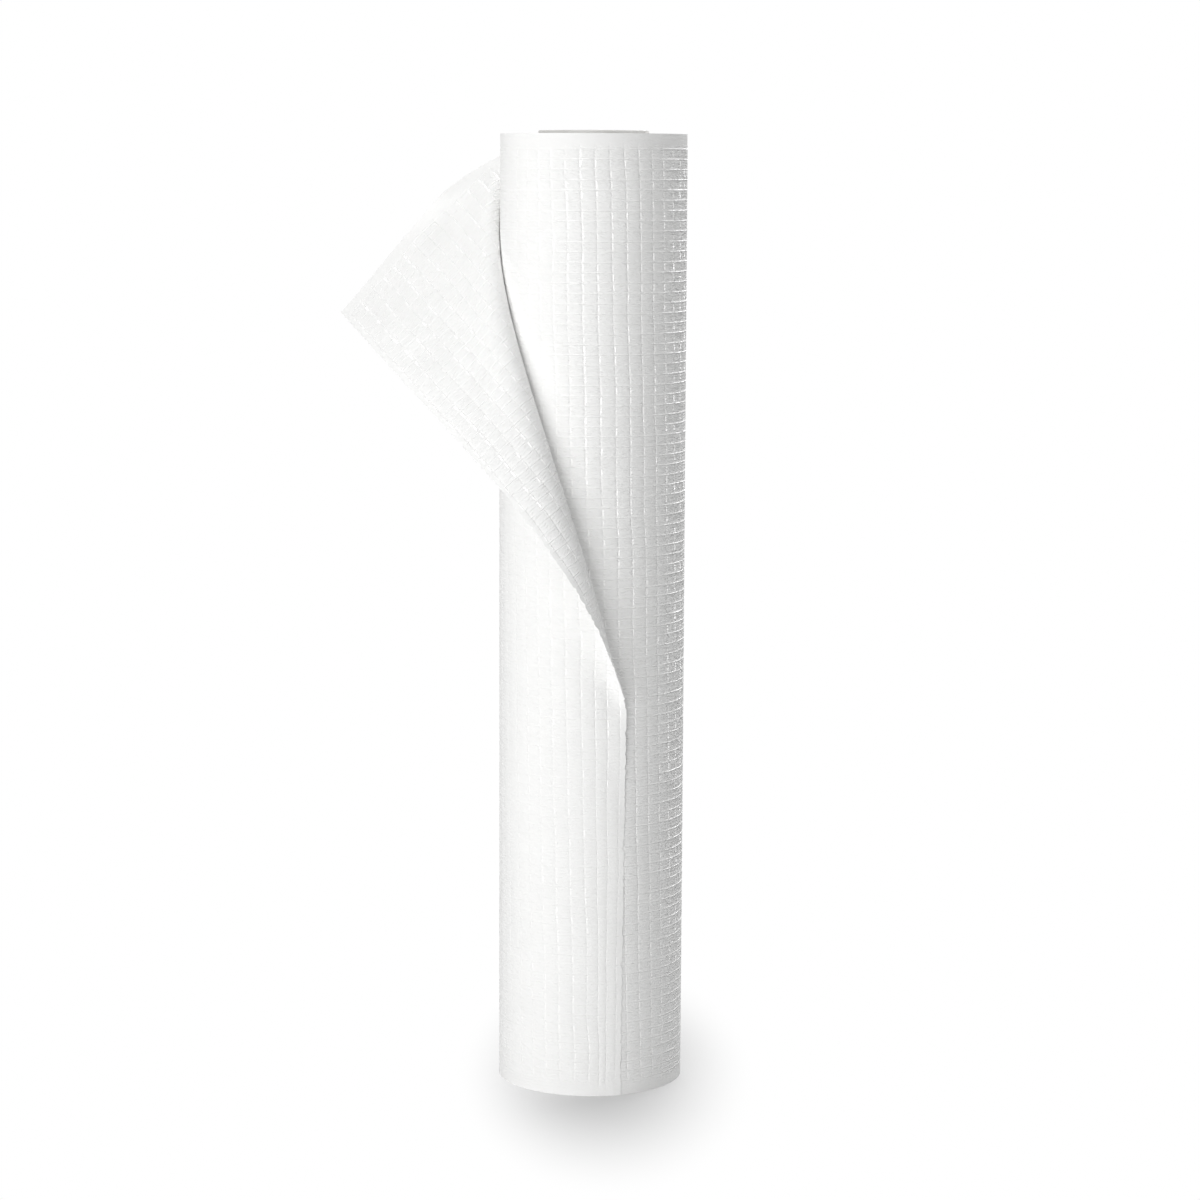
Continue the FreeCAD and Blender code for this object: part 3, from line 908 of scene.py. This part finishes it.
def embossed_tissue():
    """White creped tissue laid over threads: pressed lines, level creases and fibres, with a
    painted highlight on the threads.
    """
    finish, make = new_finish("embossed_tissue")

    def value_of(name):
        return make.add("ShaderNodeAttribute", attribute_name=name).outputs["Fac"]

    # Where a place lies in its cell of the net
    around, along = value_of("around"), value_of("along")
    relief, crisp = value_of("relief"), value_of("crisp")
    off_upright, off_cross, upright, row = make.net_place(
        value_of("threads_past"), along, MARGIN * MM, (UPRIGHT_PITCH * MM, CROSS_PITCH * MM))
    off_level = make.math("ABSOLUTE", off_cross)
    cell = make.add("ShaderNodeCombineXYZ", {"X": upright, "Y": row})
    luck = make.add("ShaderNodeTexWhiteNoise", {"Vector": cell.outputs[0]}).outputs["Value"]
    # crisp also scales the threads' painted highlight, so it shows most on the right side
    raised = make.product(relief, crisp)
    part_crisp = make.mix(crisp, PRESSED_LEAST, 1.0)

    # Threads and pressed lines
    between = make.ease(off_level, *(off * MM for off in DASH_BREAK))
    broken = make.mix(make.product(between, make.ease(luck, *DASH_LUCK)), DASH_LEAST, 1.0)
    off_bold = make.math("ABSOLUTE", make.math("SUBTRACT", upright, BOLD_THREAD))
    bold = make.product(make.ease(off_bold, 0.6, 0.4), BOLD)
    dash = make.product(make.band(off_upright, *DASH_BAND), broken, relief,
                        make.math("MAXIMUM", part_crisp, bold))
    groove = make.product(make.band(off_upright, *GROOVE_BAND), make.mix(between, 0.4, 1.0),
                          part_crisp)
    level = make.product(make.ease(off_level, *(off * MM for off in LEVEL_FLANK)),
                         make.mix(luck, 0.7, 1.0), raised)
    under = make.product(make.band(off_cross, *UNDER_BAND), crisp)
    pressed = make.plus(make.product(under, UNDER_DEPTH * MM), groove, GROOVE_DEPTH * MM)
    height = make.product(pressed, relief, -1.0)
    height = make.plus(height, dash, DASH_HEIGHT * MM)
    height = make.plus(height, level, LEVEL_HEIGHT * MM)
    # where the threads lie: they are glossier there, and lighter in colour as a painted
    # highlight
    thread = make.math("MAXIMUM", dash, level)

    # Creases and fibres
    place = make.add("ShaderNodeTexCoord").outputs["Object"]
    flat = make.add("ShaderNodeCombineXYZ", {"X": around, "Y": along}).outputs[0]
    crease_at = make.plus(along, make.noise(flat, DRIFT_SCALE, 2.0), CREASE_DRIFT * MM)
    crease = make.math("SINE", make.product(crease_at,
                                            2 * math.pi * CREASES / (CROSS_PITCH * MM)))
    crease = make.product(crease, make.ease(make.noise(flat, PATCH_SCALE, 1.0), *PATCH_EDGE))
    fibre = make.noise(place, FIBRE_SCALE, 3.0, Roughness=0.6)
    fine = make.plus(make.product(fibre, FIBRE_HEIGHT * MM), crease, CREASE_HEIGHT * MM)
    height = make.plus(height, fine, make.mix(raised, FINE_LEAST, 1.0))

    # The turns' edges
    edges = value_of("edges")
    from_axis = make.vector("LENGTH", make.vector("MULTIPLY", place, (1, 1, 0)))
    ring = make.add("ShaderNodeTexNoise", {"W": from_axis, "Scale": RING_SCALE, "Detail": 3.0},
                    noise_dimensions="1D")
    ring = make.product(make.math("SUBTRACT", ring.outputs["Fac"], 0.5), edges)
    height = make.plus(height, ring, RING_HEIGHT * MM)

    tone = make.plus(TISSUE_TONE, make.noise(place, CLOUD_SCALE, 3.0), CLOUD_TONE)
    # painted highlight: the dashes and level threads are lighter in colour, partly the threads'
    # own paler tone
    tone = make.plus(tone, thread, THREAD_TONE_AND_HIGHLIGHT)
    tone = make.plus(tone, edges, EDGES_TONE - TISSUE_TONE)
    tone = make.plus(tone, ring, RING_TONE)
    blue = make.product(tone, TISSUE_WARMTH)
    colour = make.add("ShaderNodeCombineColor", {0: tone, 1: tone, 2: blue}).outputs[0]
    bump = make.add("ShaderNodeBump", {"Strength": 1.0, "Distance": 1.0, "Height": height})
    shader = make.add("ShaderNodeBsdfPrincipled", {
        "Base Color": colour,
        "Roughness": make.mix(thread, TISSUE_ROUGHNESS, THREAD_ROUGHNESS),
        "Metallic": make.product(thread, THREAD_SHINE),
        "Specular IOR Level": TISSUE_GLOSS,
        "Normal": bump.outputs[0]})
    make.add("ShaderNodeOutputMaterial", {"Surface": shader.outputs[0]})
    return finish


def winding_card():
    """Pale grey card with short fibres and a little unevenness of tone."""
    finish, make = new_finish("winding_card")
    place = make.add("ShaderNodeTexCoord").outputs["Object"]
    ramp = make.add("ShaderNodeValToRGB", {"Fac": make.noise(place, CARD_TONE_SCALE, 2.0)})
    for element, position, colour in zip(ramp.color_ramp.elements, (0.35, 0.7), CARD_COLOURS):
        element.position = position
        element.color = colour
    bump = make.add("ShaderNodeBump", {"Strength": 0.4, "Distance": CARD_FIBRE_HEIGHT * MM,
                                       "Height": make.noise(place, CARD_FIBRE_SCALE, 4.0)})
    shader = make.add("ShaderNodeBsdfPrincipled", {
        "Base Color": ramp.outputs[0], "Roughness": CARD_ROUGHNESS, "Normal": bump.outputs[0]})
    make.add("ShaderNodeOutputMaterial", {"Surface": shader.outputs[0]})
    return finish


def white_floor():
    """White floor that keeps the roll's shadow and shows as plain white beyond it."""
    finish, make = new_finish("white_floor")
    place = make.add("ShaderNodeTexCoord").outputs["Object"]
    oval = make.vector("MULTIPLY", make.vector("SUBTRACT", place, SHADOW_CENTRE), SHADOW_SHAPE)
    beyond = make.ease(make.vector("LENGTH", oval), SHADOW_REACH, PLAIN_REACH)
    seen = make.add("ShaderNodeLightPath").outputs["Is Camera Ray"]
    matt = make.add("ShaderNodeBsdfDiffuse", {"Color": (FLOOR_TONE, FLOOR_TONE, FLOOR_TONE, 1)})
    glow = make.add("ShaderNodeEmission", {"Color": (1, 1, 1, 1),
                                           "Strength": make.product(seen, FLOOR_GLOW)})
    near = make.add("ShaderNodeAddShader", {0: matt.outputs[0], 1: glow.outputs[0]})
    far = make.add("ShaderNodeEmission", {"Color": (1, 1, 1, 1), "Strength": 1.0})
    both = make.add("ShaderNodeMixShader", {0: make.product(beyond, seen), 1: near.outputs[0],
                                            2: far.outputs[0]})
    make.add("ShaderNodeOutputMaterial", {"Surface": both.outputs[0]})
    return finish


# ---- Studio
FLOOR_SIZE = 8.0
FLOOR_TONE = 0.5
FLOOR_GLOW = 0.15
SHADOW_CENTRE = (0.008, 0.010, 0.0)
SHADOW_SHAPE = (1.0, 0.35, 0.0)  # a distance from that centre counts this much
SHADOW_REACH = 0.008       # the floor keeps all its shadow this far from that centre,
PLAIN_REACH = 0.074        # and is plain white from here
ROOM_LIGHT = 0.156         # strength of the white surround as a light
LAMPS = [("key", 31.0, (2.0, 0.8), (-1.25, -1.75, 0.35)),
         ("front", 5.5, (1.0, 1.0), (0.7, -2.1, 0.7)),
         ("left", 7.2, (1.0, 1.2), (-2.0, -0.6, 0.7)),
         ("right", 5.5, (1.2, 1.0), (1.62, -0.5, 1.58)),
         ("right_back", 5.0, (0.8, 0.8), (1.35, 0.95, 0.3)),
         ("overhead", 4.5, (1.2, 1.2), (-0.1, -0.1, 2.0)),
         ("above_back", 19.0, (1.2, 0.8), (0.3, 0.9, 1.8))]


def make_studio():
    """Floor, soft lamps and a white surround."""
    half = FLOOR_SIZE / 2
    mesh = bpy.data.meshes.new("floor")
    mesh.from_pydata([(-half, -half, 0), (half, -half, 0), (half, half, 0), (-half, half, 0)],
                     [], [(0, 1, 2, 3)])
    mesh.materials.append(white_floor())
    in_scene("floor", mesh)
    aim = Vector((0, 0, WIDTH * MM / 2))
    for name, power, size, place in LAMPS:
        light = bpy.data.lights.new(name, "AREA")
        light.shape = "RECTANGLE"
        light.size, light.size_y = size
        light.energy = power
        lamp = in_scene(name, light)
        lamp.location = place
        lamp.rotation_euler = (aim - Vector(place)).to_track_quat("-Z", "Y").to_euler()
    world = bpy.data.worlds.new("surround")
    world.use_nodes = True
    world.node_tree.nodes.clear()
    make = Nodes(world.node_tree)
    path = make.add("ShaderNodeLightPath").outputs
    direct = make.math("MAXIMUM", path["Is Camera Ray"], path["Is Glossy Ray"])
    direct = make.math("MAXIMUM", direct, path["Is Transmission Ray"])
    strength = make.mix(direct, ROOM_LIGHT, 1.0)
    sky = make.add("ShaderNodeBackground", {"Color": (1, 1, 1, 1), "Strength": strength})
    make.add("ShaderNodeOutputWorld", {"Surface": sky.outputs[0]})
    bpy.context.scene.world = world


CAMERA_PLACE = Vector((0.0, -1.5569, 0.4415))
CAMERA_DOWN = 7.589
CAMERA_RIGHT = 0.146
CAMERA_TILT = 0.255
CAMERA_LENS = 97.42


def make_camera():
    """Long lens just below the height of the roll's upper end, looking a little down."""
    camera = bpy.data.cameras.new("camera")
    camera.lens = CAMERA_LENS
    camera.sensor_width = 36.0
    holder = in_scene("camera", camera)
    down, right, tilt = (math.radians(a) for a in (CAMERA_DOWN, CAMERA_RIGHT, CAMERA_TILT))
    turn = (Matrix.Rotation(-right, 4, "Z") @ Matrix.Rotation(math.pi / 2 - down, 4, "X")
            @ Matrix.Rotation(tilt, 4, "Z"))
    holder.matrix_world = Matrix.Translation(CAMERA_PLACE) @ turn
    bpy.context.scene.camera = holder
    bpy.context.scene.view_settings.view_transform = "Standard"


# ---- The roll
make_camera()
make_studio()
tissue = embossed_tissue()
card = winding_card()
tree = emboss_tree()
last_turn = emboss(make_last_turn(), tree, tissue)
wound_paper = emboss(make_wound_paper(), tree, tissue)
card_core = make_card_core()
card_core.data.materials.append(card)

for piece, node, slot in ((wound_paper, "paper_roll", "paper"),
                          (last_turn, "paper_roll", "paper"),
                          (card_core, "core_tube", "core_card")):
    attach(piece, "root")
    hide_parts(node)
